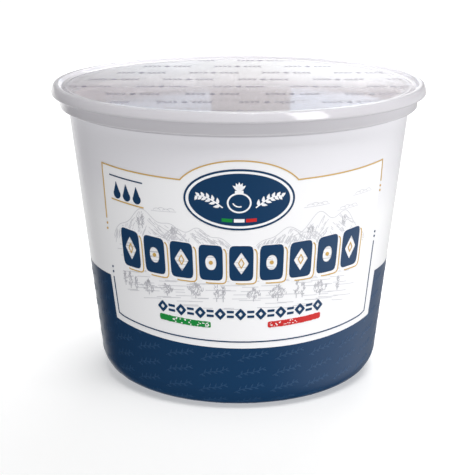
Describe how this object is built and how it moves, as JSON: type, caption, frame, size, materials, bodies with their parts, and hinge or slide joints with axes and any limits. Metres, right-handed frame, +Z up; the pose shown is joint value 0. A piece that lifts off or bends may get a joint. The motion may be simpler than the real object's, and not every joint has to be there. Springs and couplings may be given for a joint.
{
  "type": "sealed cheese tub",
  "caption": "Round plastic tub of fresh cheese in its liquid, with a flared wall, stacking shoulder and rolled rim, closed by a clear sealed film.",
  "frame": {"origin": "on the tub's axis, in the plane of the foot ring that it stands on", "axes": "+Z up along the axis; -Y is the side that the front of the label faces"},
  "size_m": [0.095, 0.095, 0.0759],
  "materials": {
    "tub_plastic": "satin white moulded polypropylene with an in-mould printed label",
    "liquid": "smooth glossy cloudy liquid",
    "film": "clear glossy plastic film with a small repeating print"
  },
  "bodies": {
    "root": {"tub": "tub_plastic", "contents": "liquid", "lid_film": "film"}
  },
  "joints": []
}
